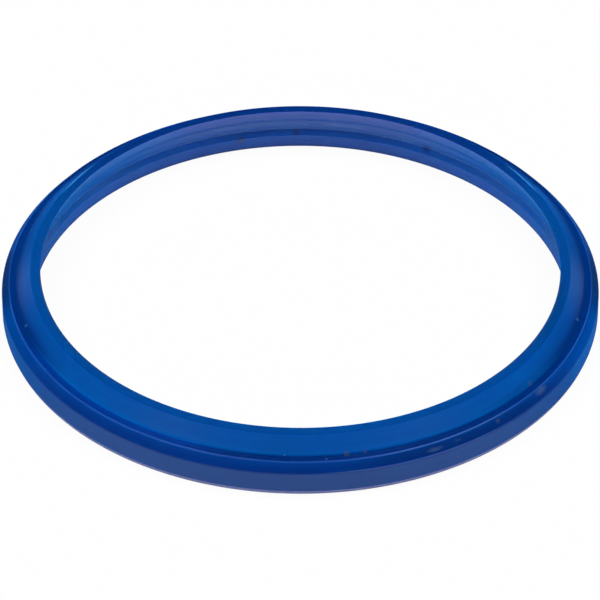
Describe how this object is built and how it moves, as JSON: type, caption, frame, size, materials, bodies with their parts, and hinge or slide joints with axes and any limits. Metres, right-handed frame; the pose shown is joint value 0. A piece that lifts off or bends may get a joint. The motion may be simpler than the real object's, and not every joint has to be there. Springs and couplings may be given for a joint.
{
  "type": "rod wiper seal",
  "caption": "Blue polyurethane rod wiper ring: a stepped body that snaps into a groove, with an inward-leaning lip that scrapes a sliding rod clean.",
  "frame": {"origin": "centre of the heel face, the flat face that the ring lies on", "axes": "+Z along the rod axis, from the heel towards the wiping lip; the ring is round, so X and Y are free"},
  "size_m": [0.1122, 0.1122, 0.0097],
  "materials": {
    "polyurethane": "gloss"
  },
  "bodies": {
    "root": {"wiper_seal": "polyurethane"}
  },
  "joints": []
}
